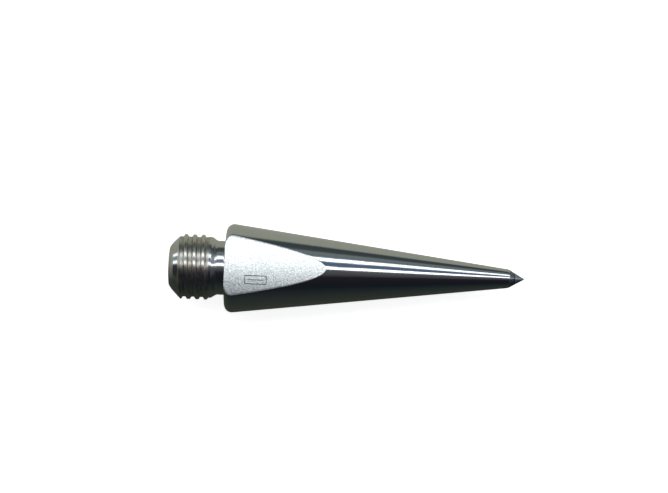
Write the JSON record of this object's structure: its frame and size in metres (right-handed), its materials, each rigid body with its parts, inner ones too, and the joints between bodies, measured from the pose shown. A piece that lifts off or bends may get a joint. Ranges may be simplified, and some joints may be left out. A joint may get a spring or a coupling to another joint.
{
  "type": "live center extended point",
  "caption": "Screw-in extended point of a live center: threaded stub, flat shoulder, two wrench flats, long slender steel cone and a brazed carbide nose of 60 degrees.",
  "frame": {"origin": "centre of the shoulder face, on the axis", "axes": "+X along the axis towards the carbide point, +Z square to the upper wrench flat, +Y parallel to the wrench flats"},
  "size_m": [0.1037, 0.0258, 0.019],
  "materials": {
    "hardened_steel": "ground and polished, wrench flats satin blasted",
    "carbide": "fine ground tungsten carbide",
    "braze": "silver solder, flush ground"
  },
  "bodies": {
    "root": {"point_body": "hardened_steel", "braze_layer": "braze", "carbide_tip": "carbide"}
  },
  "joints": []
}
